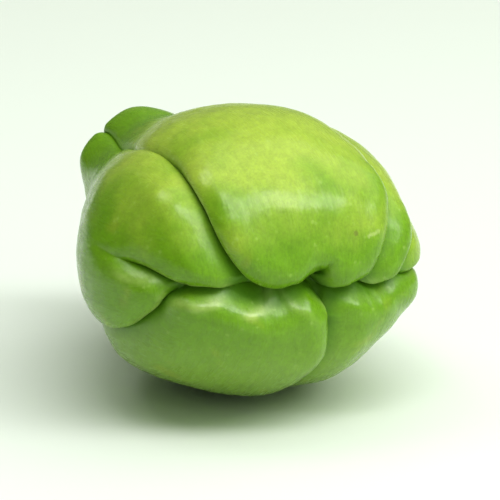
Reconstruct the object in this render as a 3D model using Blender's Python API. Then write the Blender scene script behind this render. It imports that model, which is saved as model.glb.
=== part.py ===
"""Chayote squash, one whole fruit as picked, lying on its side.

Units are metres, +Z is up. The blossom end, where the deep folded cleft is, looks
along -Y and the stem end along +Y, so the fruit is longest along Y. The origin is on
the surface the fruit rests on, under the middle of the fruit.

The fruit grew as one piece, so it is one closed solid. Its skin is made in three steps:
a smooth pear-shaped body is lofted through STATIONS, FURROWS then sink into it and let
one lobe fold over the next, and SWELLINGS and a slow waviness take away its evenness.

Places on the skin are given as a clock angle, in degrees clockwise from 12 o'clock (+Z)
as seen from the blossom end, and as a percentage of the way from the blossom pole (0)
to the stem pole (100). Lengths in the tables are millimetres.
"""
import bpy
import bmesh
import numpy as np

MM = 0.001

# ------------------------------------------------------------------ driving dimensions
CELLS = 30                # divisions along each edge of the starting cube
FRONT_FINENESS = 0.25     # how much smaller the cells are at the blossom end
AXIS_HEIGHT = 39.9        # the long axis over the surface the fruit rests on
SURFACE = 0.0             # the skin is pressed flat where it would pass this height

# distance ahead of the widest section, half width to the right and to the left, half
# height above and below, shift of the section to the right and upwards
STATIONS = [
    (48.9, 0.0, 0.0, 0.0, 0.0, 0.0, 0.0),
    (46.5, 21.0, 21.5, 18.5, 18.0, 0.0, 0.0),
    (38.0, 35.0, 36.0, 29.0, 27.5, 0.0, 0.0),
    (22.0, 41.0, 46.5, 36.0, 36.5, 0.0, 0.0),
    (2.0, 45.5, 48.5, 38.5, 40.2, 0.0, 0.0),
    (-18.0, 42.5, 41.0, 34.0, 41.0, 1.0, 0.8),
    (-36.0, 33.0, 36.0, 27.0, 36.0, 6.8, 2.5),
    (-52.0, 27.5, 25.0, 25.0, 28.5, 4.4, 0.0),
    (-65.0, 22.0, 20.8, 22.0, 22.8, 5.0, 3.0),
    (-74.0, 15.0, 16.5, 13.8, 14.0, 3.6, 8.2),
    (-78.0, 0.0, 0.0, 0.0, 0.0, 3.6, 8.2),
]

# Each furrow is a course over the skin. A row is: clock, percent, depth, how far the
# left and the right wall reach, overlap (above zero the right wall folds over the
# left one, below zero the left over the right), the height of the rim that swells
# beside it on the left and on the right, and how gently the lower wall slopes in under
# the upper one. Left and right are as seen from outside, going down the list.
FURROWS = {
    # round the top lobe: down from the stem on its left, along the upper lip of the
    # cleft with its notch, and back up to the stem on its right
    "top_lobe": [
        (322, 97, 3.0, 8, 8, 0, 0, 0, 1), (321, 90, 3.8, 9, 9, 0, 0, 0, 1),
        (320, 81, 3.3, 11, 11, 0, 0, 0, 1), (320, 72, 3.2, 11, 11, 0, 0, 0, 1),
        (321, 63, 3.0, 11, 11, 0, 0, 0, 1), (323, 54, 2.5, 12, 12, 0, 0, 0, 1),
        (325, 47, 2.3, 12, 12, 0, 0, 0, 1), (326, 41, 2.8, 11, 11, -0.1, 0, 0, 1.5),
        (324, 35, 3.8, 9, 8, -0.3, 0.3, 0.1, 1.0), (319, 29.5, 4.2, 8, 6.5, -0.5, 0.6, 0.1, 0.8),
        (312, 24.5, 4.8, 8, 5.5, -0.6, 0.9, 0.1, 0.6), (304, 21, 5.2, 7, 5.5, -0.7, 1.1, 0.1, 0.6),
        (295, 18, 5.8, 7, 5.5, -0.7, 1.1, 0.1, 0.6), (284.5, 15.3, 6.5, 8, 6, -0.7, 1.1, 0.2, 0.6),
        (273, 13, 8.0, 9, 7, -0.75, 1.1, 0.5, 0.5), (260.5, 10.4, 9.0, 10, 6.5, -0.8, 1.1, 0.9, 0.1),
        (252, 7.5, 9.5, 10, 6, -0.8, 1.2, 0.9, 0.1), (252, 4.8, 9.5, 9, 5, -0.7, 0.9, 0.9, 0.1),
        (263.5, 2.8, 9.5, 7, 5, -0.5, 0.5, 0.5, 0.1), (286, 1.8, 9.0, 6, 5, -0.3, 0.3, 0.4, 0.4),
        (220.5, 1, 9.0, 7, 6, -0.5, 0.5, 0.1, 0.6), (159, 2, 9.0, 8, 7, -0.6, 0.8, 0.1, 0.8),
        (133.5, 3.6, 8.0, 8, 4.5, -0.7, 1.0, 0.3, 0.6), (115.5, 5.7, 7.0, 7, 3.5, -0.6, 0.9, 0.2, 0.6),
        (102, 7.4, 6.0, 7, 4.5, -0.5, 0.8, 0.1, 0.8), (90, 9, 5.2, 6, 6, -0.6, 0.9, 0.1, 0.8),
        (76, 11, 4.6, 6, 6, -0.6, 1.0, 0.1, 0.8), (64.5, 13.6, 4.3, 6, 6, -0.6, 1.0, 0.1, 0.8),
        (55.5, 16.4, 4.1, 6, 6, -0.6, 0.9, 0.1, 0.8), (50, 20, 3.9, 6, 6.5, -0.6, 0.7, 0.1, 0.8),
        (46, 24.5, 3.5, 7, 7, -0.5, 0.5, 0.1, 1.0), (42, 30.5, 3.1, 8, 8, -0.4, 0.3, 0, 1.0),
        (37, 37.5, 3.0, 9, 10, -0.2, 0.1, 0, 1.5), (32, 45, 2.7, 10, 10, 0, 0, 0, 1),
        (29, 54, 2.7, 11, 11, 0, 0, 0, 1), (28, 66, 3.0, 10, 10, 0, 0, 0, 1),
        (29, 76, 3.6, 9, 9, 0, 0, 0, 1), (30, 84, 4.2, 9, 9, 0, 0, 0, 1),
        (30, 92, 4.2, 8, 8, 0, 0, 0, 1)],
    # the lower lip of the upper left lobe: a crease that deepens on its way forward to
    # the left corner and runs on as the cleft until it goes in under the top lobe
    "cleft_left": [
        (284, 40, 0.0, 8, 8, 0, 0, 0, 1), (283, 36, 0.8, 8, 7, 0, 0, 0.3, 1),
        (282, 33, 1.8, 8, 5.5, -0.1, 0, 0.6, 1), (281, 31, 3.0, 8, 4.5, -0.2, 0, 0.8, 1),
        (279.5, 28.5, 3.9, 8, 4.5, -0.3, 0, 0.8, 1), (277.5, 26, 4.5, 8, 4.5, -0.3, 0.1, 0.7, 0.9),
        (274, 23.3, 5.0, 8, 4.5, -0.35, 0.2, 0.7, 0.7), (271.5, 20.7, 5.6, 8, 4.5, -0.4, 0.3, 0.6, 0.3),
        (269.5, 18, 6.4, 9, 4.5, -0.5, 0.3, 0.9, 0.1), (267.5, 15.1, 7.0, 9, 4.5, -0.6, 0.4, 0.9, 0.1),
        (263, 12.4, 7.5, 9, 5, -0.7, 0.4, 0.8, 0.1), (257, 9.9, 7.5, 8, 5, -0.7, 0, 0.4, 0.1)],
    # the cleft from under the top lobe to its right end, where it fades
    "cleft_right": [
        (113.5, 5.8, 6.5, 6, 5, -0.6, 0, 0.5, 0.5), (111, 9, 6.5, 7, 5, -0.5, 0.4, 0.6, 0.5),
        (106, 11.5, 6.0, 7, 5, -0.4, 0.4, 0.4, 0.5), (101, 14, 5.5, 6, 5, -0.3, 0.3, 0.4, 0.5),
        (98, 17.5, 4.6, 6, 6, 0, 0.2, 0.3, 1), (97, 21, 3.4, 7, 7, 0, 0.1, 0.2, 1),
        (99, 26, 2.0, 8, 8, 0, 0, 0, 1), (102, 31, 0.3, 8, 8, 0, 0, 0, 1)],
    # from the left corner down under the left lobe, and on to the stem
    "lower_left": [
        (272.5, 21.4, 5.5, 5, 5, 0.1, 0.3, 0.5, 1.2), (267, 23.1, 5.5, 5.5, 6, 0.4, 0.3, 0.6, 1.2),
        (259, 25.1, 5.2, 6, 7, 0.5, 0.2, 0.7, 1.2), (253.5, 27.9, 5.0, 7, 8, 0.5, 0.1, 0.6, 1.2),
        (248, 32.2, 4.8, 9, 8, 0.4, 0.4, 0.4, 1.5), (244.5, 38, 4.4, 9, 9, 0.3, 0.2, 0.2, 1.5),
        (244, 45, 3.6, 11, 10, 0.1, 0, 0, 1.5), (245, 53, 3.0, 12, 11, 0, 0, 0, 1),
        (246, 62, 2.8, 11, 11, 0, 0, 0, 1), (247, 74, 3.4, 9, 9, 0, 0, 0, 1),
        (248, 84, 4.2, 9, 9, 0, 0, 0, 1), (247, 93, 4.0, 8, 8, 0, 0, 0, 1)],
    # the pucker that runs up from the notch
    "pucker": [
        (286, 1.8, 8.0, 6, 6, 0, 0, 0, 1), (345.5, 2.2, 7.5, 6, 6, 0.3, 0.2, 0.5, 1.5),
        (1.5, 3.0, 3.0, 8, 8, 0.2, 0.1, 0.3, 1.5), (12, 3.9, 1.1, 9, 9, 0, 0, 0.1, 1.5),
        (18, 4.8, 0.0, 9, 9, 0, 0, 0, 1)],
    # outlines the small lobe above the cleft's right end
    "right_lobe": [
        (93, 14.5, 4.4, 5, 7, -0.4, 0.3, 0, 1.5), (86, 16, 4.2, 5, 8, -0.5, 0.4, 0, 1.5),
        (79, 18.5, 3.8, 5, 8, -0.5, 0.4, 0, 1.5), (73, 22, 3.2, 6, 8, -0.4, 0.3, 0, 1.5),
        (70, 27, 2.4, 6, 8, -0.3, 0.1, 0, 1.5), (71, 34, 1.5, 8, 8, 0, 0, 0, 1),
        (76, 42, 0.5, 9, 9, 0, 0, 0, 1), (81, 50, 0.0, 9, 9, 0, 0, 0, 1)],
    # from the notch down the middle and under the fruit, and on to the stem
    "bottom": [
        (266.5, 1.6, 9.0, 6, 6, 0, 0.3, 0.3, 1), (180, 1.9, 7.5, 8, 6, 0.4, 0.1, 0.6, 1.2),
        (158, 4.0, 6.5, 8, 6, 0.6, 0, 0.9, 1.2), (162.5, 6.3, 6.0, 8, 6, 0.7, 0, 1.0, 1.2),
        (166.5, 8.8, 5.6, 8, 6, 0.7, 0, 1.0, 1.2), (171, 13.4, 5.2, 8, 6, 0.7, 0, 0.8, 1.2),
        (175, 19.1, 4.8, 8, 7, 0.5, 0, 0.5, 1.5), (177, 27, 4.0, 9, 8, 0.3, 0, 0.2, 1.5),
        (180, 34, 3.2, 9, 9, 0.1, 0, 0, 1.5), (187, 42, 2.4, 10, 10, 0, 0, 0, 1),
        (190, 50, 1.8, 11, 11, 0, 0, 0, 1), (191, 60, 1.5, 11, 11, 0, 0, 0, 1),
        (191, 70, 1.8, 10, 10, 0, 0, 0, 1), (190, 80, 2.6, 9, 9, 0, 0, 0, 1),
        (190, 90, 3.6, 8, 8, 0, 0, 0, 1)],
    # between the two lobes right of that, and on to the stem
    "lower_right": [
        (104, 8.4, 3.5, 6, 6, 0, 0, 0, 1), (106, 10.9, 1.4, 7, 7, 0, 0, 0, 1),
        (112, 13.5, 0.3, 7, 7, 0, 0, 0, 1), (119, 17.5, 0.0, 8, 8, 0, 0, 0, 1),
        (125, 22.5, 0.0, 9, 9, 0, 0, 0, 1), (129, 28, 0.6, 10, 10, 0, 0, 0, 1),
        (131, 36, 1.4, 11, 11, 0, 0, 0, 1), (130, 46, 1.8, 11, 11, 0, 0, 0, 1),
        (128, 57, 2.4, 11, 11, 0, 0, 0, 1), (126, 68, 3.0, 10, 10, 0, 0, 0, 1),
        (124, 80, 4.0, 9, 9, 0, 0, 0, 1), (124, 91, 4.4, 8, 8, 0, 0, 0, 1)],
}

# clock, percent, radius, height: soft swellings, and dents where the height is below zero
SWELLINGS = [
    (122, 21, 8, 1.2), (137, 21, 11, -1.6), (64, 24, 10, -1.4),
    (208, 38, 13, -1.0), (311, 28, 10, 2.4),
    (0, 100, 7, -3.0),    # the dimple that the stem left
]

# Low crests along the edges of the lower lobes, and valleys where the height is below
# zero, in rows of clock, percent, height, width
CRESTS = {
    "bottom_lobe_left": [
        (257, 24.8, 0.0, 1.8), (263, 23.1, 0.5, 1.6), (266, 21.2, 0.8, 1.5), (265, 19.2, 0.8, 1.4),
        (266, 16.4, 0.8, 1.4), (267, 14.3, 0.2, 1.4)],
    "bottom_lobe_right": [
        (262, 14, 0.2, 1.4), (255, 12.5, 0.8, 1.5), (254, 9.6, 0.8, 1.5), (255, 7.3, 0.8, 1.5),
        (245, 6.0, 0.6, 1.5), (219, 5.1, 0.4, 1.5), (202, 6.5, 0.2, 1.5), (195, 9, 0.0, 1.5)],
    "left_lobe": [
        (280, 36, 0.0, 2.5), (277, 33, 0.5, 2.2), (275.5, 31.1, 0.7, 2.0), (275.5, 28.8, 0.7, 2.0),
        (275.5, 26.6, 0.6, 1.8), (276, 24.3, 0.1, 1.6)],
    "below_the_notch": [(122, 3.3, 0.0, 1.3), (110, 4.3, 0.5, 1.3), (101, 5.4, 0.0, 1.3)],
    "right_valley": [
        (105, 9, -0.3, 2.5), (108, 12, -0.9, 3.0), (114, 15, -1.2, 3.5), (120, 18.5, -1.3, 4.0),
        (125, 23, -1.1, 4.5), (129, 28, -0.7, 5.0), (131, 34, 0.0, 5.0)],
    "right_rib_upper": [(103, 7.0, 0.0, 0.9), (107, 7.8, 0.2, 0.9), (119, 9.4, 0.2, 1.0),
                        (130, 11.2, 0.1, 1.0), (134, 12.0, 0.0, 1.0)],
    "right_rib_lower": [(103, 8.4, 0.0, 0.9), (107, 9.4, 0.2, 0.9), (117, 11.8, 0.2, 1.0),
                        (127, 14.1, 0.15, 1.0), (135, 16.4, 0.0, 1.0)],
}

FURROW_ROUNDING = 0.7     # radius at the bottom of a furrow
JOINING = 3.0             # how sharply furrows that meet run into each other
RIM_LIMIT = 2.0           # no rim is higher
WAVE = 0.3                # height of the slow waviness of the skin

SKIN_COLOUR = (0.24, 0.42, 0.05, 1.0)
SKIN_ROUGHNESS = 0.38


# ------------------------------------------------------------------ the smooth body
def closed_spline(points, steps):
    """Closed curve through the points, smooth to the second derivative."""
    p = np.asarray(points, float)
    m = len(p)
    h = np.linalg.norm(np.roll(p, -1, 0) - p, axis=1) ** 0.5
    a = np.zeros((m, m))
    b = np.zeros_like(p)
    for i in range(m):
        j = (i + 1) % m
        a[i, i - 1] += h[i - 1]
        a[i, i] += 2 * (h[i - 1] + h[i])
        a[i, j] += h[i]
        b[i] = 6 * ((p[j] - p[i]) / h[i] - (p[i] - p[i - 1]) / h[i - 1])
    bend = np.linalg.solve(a, b)
    t = (np.arange(steps) / steps)[:, None]
    u = 1 - t
    return np.vstack([
        u * p[i] + t * p[(i + 1) % m]
        + ((u ** 3 - u) * bend[i] + (t ** 3 - t) * bend[(i + 1) % m]) * h[i] ** 2 / 6
        for i in range(m)])


def unit(v):
    return v / (np.linalg.norm(v, axis=-1, keepdims=True) + 1e-15)


def direction(clock, percent):
    """Unit vector of the place on a sphere; -Y is the blossom pole."""
    c = np.radians(clock)
    a = np.radians(np.asarray(percent, float) * 1.8)
    return np.stack([np.sin(a) * np.sin(c), -np.cos(a), np.sin(a) * np.cos(c)], -1)


class Body:
    """The pear shape without its furrows, lofted through the stations."""

    def __init__(self, stations):
        st = np.array(stations, float)
        back = st[-2:0:-1].copy()
        back[:, 1:5] *= -1                       # the far side closes the outline
        steps = 40
        half = closed_spline(np.vstack([st, back]), steps)[:(len(st) - 1) * steps + 1]
        half[0], half[-1] = st[0], st[-1]
        run = np.hypot(np.diff(half[:, 0]), np.diff(half[:, 1:5].mean(1)))
        self.arc = np.r_[0, np.cumsum(run)]
        self.arc /= self.arc[-1]
        self.table = half

    def at(self, dirs):
        s = np.arccos(np.clip(-dirs[:, 1], -1, 1)) / np.pi
        g = np.hypot(dirs[:, 0], dirs[:, 2]) + 1e-12
        side, height = dirs[:, 0] / g, dirs[:, 2] / g
        t = [np.interp(s, self.arc, self.table[:, k]) for k in range(7)]
        a = np.where(side >= 0, t[1], t[2])
        b = np.where(height >= 0, t[3], t[4])
        return np.stack([t[5] + a * side, -t[0], t[6] + b * height], 1)

    def normal(self, dirs, e=1e-3):
        ref = np.where(np.abs(dirs[:, 1:2]) < 0.9, [[0.0, 1.0, 0.0]], [[1.0, 0.0, 0.0]])
        u = unit(np.cross(dirs, ref))
        v = np.cross(dirs, u)
        du = self.at(unit(dirs + e * u)) - self.at(unit(dirs - e * u))
        dv = self.at(unit(dirs + e * v)) - self.at(unit(dirs - e * v))
        n = unit(np.cross(du, dv))
        return n * np.sign((n * dirs).sum(1, keepdims=True))


# ------------------------------------------------------------------ furrows
def smooth_course(points, steps):
    """Curve through the points, with a tangent along its neighbours at each."""
    q = np.vstack([2 * points[0] - points[1], points, 2 * points[-1] - points[-2]])
    t = (np.arange(steps) / steps)[:, None]
    out = []
    for a, b, c, d in zip(q, q[1:], q[2:], q[3:]):
        out.append(0.5 * (2 * b + (c - a) * t + (2 * a - 5 * b + 4 * c - d) * t ** 2
                          + (3 * b - a - 3 * c + d) * t ** 3))
    return np.vstack(out + [points[-1:]])


class Furrow:
    """A course over the body and what its walls do at each point of it."""

    def __init__(self, body, rows):
        rows = np.array(rows, float)
        d = unit(smooth_course(direction(rows[:, 0], rows[:, 1]), 14))
        k = np.linspace(0, len(rows) - 1, len(d))
        self.values = np.stack([np.interp(k, np.arange(len(rows)), rows[:, j])
                                for j in range(2, 9)], 1)
        self.points = body.at(d)
        normals = body.normal(d)
        across = np.cross(unit(np.gradient(self.points, axis=0)), normals)
        w = np.hanning(21)[1:-1]
        w /= w.sum()
        across = np.stack([np.convolve(np.pad(across[:, j], 9, mode="edge"), w, "valid")
                           for j in range(3)], 1)
        self.across = unit(across - normals * (across * normals).sum(1, keepdims=True))
        has_rim = np.abs(self.values[:, 4:6]).max() > 0
        self.reach = self.values[:, 1:3].max() * (2.4 if has_rim else 1.05) + 1

    def nearest(self, pts):
        """For the points in reach: which, how far, on which side, and the values there."""
        low, high = self.points.min(0) - self.reach, self.points.max(0) + self.reach
        which = np.where(((pts > low) & (pts < high)).all(1))[0]
        start = self.points[:-1]
        leg = self.points[1:] - start
        leg2 = (leg ** 2).sum(1)
        dist = np.empty(len(which))
        seg = np.empty(len(which), int)
        frac = np.empty(len(which))
        for c in range(0, len(which), 8000):
            w = pts[which[c:c + 8000]][:, None] - start[None]
            t = np.clip((w * leg).sum(2) / leg2, 0, 1)
            q = ((w - t[..., None] * leg) ** 2).sum(2)
            j = q.argmin(1)
            r = np.arange(len(j))
            dist[c:c + 8000], seg[c:c + 8000] = np.sqrt(q[r, j]), j
            frac[c:c + 8000] = t[r, j]
        keep = dist < self.reach
        which, dist, seg, frac = which[keep], dist[keep], seg[keep], frac[keep][:, None]

        def mix(table):
            return table[seg] * (1 - frac) + table[seg + 1] * frac
        near, across = mix(self.points), mix(self.across)
        side = ((pts[which] - near) * across).sum(1)
        return which, dist, side, mix(self.values), across, near


def pillow(t, n):
    """Round shoulder: 0 and upright at t = 0, 1 and level at t = 1."""
    return (1 - (1 - t) ** n) ** (1 / n)


def shelf(o, slope):
    """How much a wall is a level shelf with a firm edge: a lower wall of little slope is."""
    return np.clip(-3 * o, 0, 1) * np.clip(1.1 - slope, 0, 1)


def lean(side, sink, values):
    """Share of its overlap that a wall has at its depth: a shelf leans in only deep down."""
    depth, over, slope = values[:, 0], values[:, 3], values[:, 6]
    level = shelf(np.clip(over, -1, 1) * np.tanh(side), slope)
    return np.clip(sink / np.maximum(depth, 0.5), 1e-3, 1) ** level


def walls(dist, side, values):
    """Depth of the furrow and height of its rim, at a distance from its course."""
    depth, left, right, over, rim_left, rim_right, slope = values.T
    hand = np.tanh(side)
    k = 0.5 + 0.5 * hand
    reach = left * (1 - k) + right * k
    rim = rim_left * (1 - k) + rim_right * k
    o = np.clip(over, -1, 1) * hand              # above zero: this wall is the upper one
    d = np.maximum(np.sqrt(dist ** 2 + FURROW_ROUNDING ** 2) - FURROW_ROUNDING, 0)
    t = np.clip(d / reach, 0, 1)
    m = np.clip(-o * slope, 0, 1)
    square = 2 + 0.6 * np.maximum(o, 0) + 1.2 * shelf(o, slope)
    sink = depth * ((1 - m) * (1 - pillow(t, square)) + m * (1 - t) ** 2)
    t = d / reach
    rise = rim * np.exp(-((t - 0.95) / np.where(t < 0.95, 0.45, 0.7)) ** 2)
    return sink, rise


def crests(body, pts):
    """Height of the crests over the points."""
    height = np.zeros(len(pts))
    for rows in CRESTS.values():
        course = Furrow(body, [(clock, percent, high, wide, 2 * wide, 0, 0, 0, 1)
                               for clock, percent, high, wide in rows])
        which, dist, side, val, across, near = course.nearest(pts)
        rise = val[:, 0] * np.exp(-(dist / val[:, 1]) ** 2)
        height[which] += rise
    return height


def gather(pts, furrows, reach=6.0, power=0.9):
    """Draws the points towards the furrows, so that their walls get more of them."""
    best = np.full(len(pts), 1e9)
    target = pts.copy()
    factor = np.ones(len(pts))
    for f in furrows:
        which, dist, side, val, across, near = f.nearest(pts)
        r = np.minimum(reach, 0.8 * np.minimum(val[:, 1], val[:, 2]) + 1.0)
        k = np.clip(dist / r, 1e-4, 1) ** (power * np.clip(val[:, 0] / 3, 0, 1))
        m = (dist < best[which]) & (dist < r)
        best[which[m]], target[which[m]], factor[which[m]] = dist[m], near[m], k[m]
    return target + (pts - target) * factor[:, None]


def waviness(dirs):
    """A slow uneven swell over the whole skin, between -1 and 1."""
    x, y, z = dirs.T
    return (np.sin(3.1 * x + 1.7 * z + 0.4) * np.sin(2.3 * y - 1.1 * x + 1.9)
            + 0.6 * np.sin(5.3 * z - 2.2 * y + 2.6) * np.sin(4.4 * x + 1.3)
            + 0.4 * np.sin(8.1 * y + 3.0 * z) * np.sin(6.7 * x - 2.9 * z + 0.8)) / 2.0


def skin(dirs):
    """Positions on the finished skin, mm, for unit vectors from the middle."""
    body = Body(STATIONS)
    furrows = [Furrow(body, rows) for rows in FURROWS.values()]
    pts, normals = gather(body.at(dirs), furrows), body.normal(dirs)
    power = np.zeros(len(pts))
    plain = np.zeros(len(pts))
    rise = np.zeros(len(pts))
    slide = np.zeros_like(pts)
    for f in furrows:
        which, dist, side, val, across, near = f.nearest(pts)
        sink, rim = walls(dist, side, val)
        power[which] += sink ** JOINING
        plain[which] += sink
        slide[which] += (val[:, 3] * sink * lean(side, sink, val))[:, None] * across
        rise[which] += rim
    sink = power ** (1 / JOINING)
    slide *= (sink / np.maximum(plain, 1e-9))[:, None]
    slide -= normals * (slide * normals).sum(1, keepdims=True)
    rise = RIM_LIMIT * np.tanh(rise / RIM_LIMIT) + WAVE * waviness(dirs) + crests(body, pts)
    for clock, percent, radius, height in SWELLINGS:
        middle = body.at(direction(np.array([clock]), np.array([percent])))
        rise += height * np.exp(-((pts - middle) ** 2).sum(1) / radius ** 2)
    out = pts + normals * (rise - sink)[:, None] + slide
    out[:, 2] += AXIS_HEIGHT
    out[:, 2] = np.maximum(out[:, 2], SURFACE)
    return out


# ------------------------------------------------------------------ building
def clear():
    for ob in list(bpy.data.objects):
        bpy.data.objects.remove(ob, do_unlink=True)


def skin_material():
    mat = bpy.data.materials.new("chayote_skin")
    mat.use_nodes = True
    shader = mat.node_tree.nodes["Principled BSDF"]
    shader.inputs["Base Color"].default_value = SKIN_COLOUR
    shader.inputs["Roughness"].default_value = SKIN_ROUGHNESS
    shader.inputs["Metallic"].default_value = 0.0
    mat.diffuse_color = SKIN_COLOUR
    return mat


def chayote_fruit():
    """A cube divided into even cells, rounded to a ball and drawn out to the fruit."""
    bm = bmesh.new()
    bmesh.ops.create_cube(bm, size=2.0)
    bmesh.ops.subdivide_edges(bm, edges=bm.edges[:], cuts=CELLS - 1, use_grid_fill=True)
    bm.verts.ensure_lookup_table()
    cube = np.array([v.co[:] for v in bm.verts])
    ball = unit(np.tan(cube * np.pi / 4))        # evens out the cells on the ball
    polar = np.arccos(np.clip(-ball[:, 1], -1, 1))
    moved = polar - FRONT_FINENESS * np.sin(polar)
    ratio = np.sin(moved) / np.maximum(np.sin(polar), 1e-9)
    dirs = unit(np.stack([ball[:, 0] * ratio, -np.cos(moved), ball[:, 2] * ratio], 1))
    pts = skin(dirs) * MM
    middle = (pts.min(0) + pts.max(0)) / 2
    for v, p in zip(bm.verts, pts):
        v.co = (p[0] - middle[0], p[1] - middle[1], p[2])
    bmesh.ops.recalc_face_normals(bm, faces=bm.faces[:])
    mesh = bpy.data.meshes.new("chayote_fruit")
    bm.to_mesh(mesh)
    bm.free()
    mesh.shade_smooth()
    mesh.materials.append(skin_material())
    ob = bpy.data.objects.new("chayote_fruit", mesh)
    bpy.context.scene.collection.objects.link(ob)
    return ob


clear()
chayote_fruit()
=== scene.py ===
"""Chayote squash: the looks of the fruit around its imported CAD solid.

The fruit is made again from the same tables and functions as its CAD part, on a four
times finer grid, and fitted into the CAD solid's box. On top of the shape it gets what
the coarse solid can't hold: small uneven swells, faint folds and wrinkles, and the
corky scar that the stem left. Its skin is one procedural material.
"""
import math
import bpy
import bmesh
import numpy as np
from mathutils import Matrix, Vector


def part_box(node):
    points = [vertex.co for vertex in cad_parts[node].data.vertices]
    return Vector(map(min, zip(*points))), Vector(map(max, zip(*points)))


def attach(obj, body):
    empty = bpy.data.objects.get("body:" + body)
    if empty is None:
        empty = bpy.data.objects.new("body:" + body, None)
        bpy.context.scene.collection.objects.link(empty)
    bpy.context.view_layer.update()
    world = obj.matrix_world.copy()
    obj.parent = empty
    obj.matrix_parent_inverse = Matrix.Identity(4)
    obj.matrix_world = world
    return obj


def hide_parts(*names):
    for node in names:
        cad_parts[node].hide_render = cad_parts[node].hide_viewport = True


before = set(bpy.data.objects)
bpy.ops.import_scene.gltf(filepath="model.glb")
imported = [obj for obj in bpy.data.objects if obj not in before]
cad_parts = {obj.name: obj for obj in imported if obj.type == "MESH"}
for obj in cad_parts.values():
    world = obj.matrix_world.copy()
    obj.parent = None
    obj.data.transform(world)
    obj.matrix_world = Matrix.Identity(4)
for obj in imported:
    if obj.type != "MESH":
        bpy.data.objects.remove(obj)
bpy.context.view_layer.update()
NODE_LOW, NODE_HIGH = [np.array(c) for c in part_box("chayote_fruit")]

MM = 0.001

# ------------------------------------------------------------------ the fruit's shape
CELLS = 129               # divisions along each edge of the starting cube
FRONT_FINENESS = 0.45     # how much smaller the cells are at the blossom end
AXIS_HEIGHT = 39.9        # the long axis over the surface the fruit rests on
SURFACE = 0.0             # the skin is pressed flat where it would pass this height
INSET = 0.05              # how far the skin stays inside the CAD solid's box, mm

# distance ahead of the widest section, half width to the right and to the left, half
# height above and below, shift of the section to the right and upwards
STATIONS = [
    (48.9, 0.0, 0.0, 0.0, 0.0, 0.0, 0.0),
    (46.5, 21.0, 21.5, 18.5, 18.0, 0.0, 0.0),
    (38.0, 35.0, 36.0, 29.0, 27.5, 0.0, 0.0),
    (22.0, 41.0, 46.5, 36.0, 36.5, 0.0, 0.0),
    (2.0, 45.5, 48.5, 38.5, 40.2, 0.0, 0.0),
    (-18.0, 42.5, 41.0, 34.0, 41.0, 1.0, 0.8),
    (-36.0, 33.0, 36.0, 27.0, 36.0, 6.8, 2.5),
    (-52.0, 27.5, 25.0, 25.0, 28.5, 4.4, 0.0),
    (-65.0, 22.0, 20.8, 22.0, 22.8, 5.0, 3.0),
    (-74.0, 15.0, 16.5, 13.8, 14.0, 3.6, 8.2),
    (-78.0, 0.0, 0.0, 0.0, 0.0, 3.6, 8.2),
]

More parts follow.
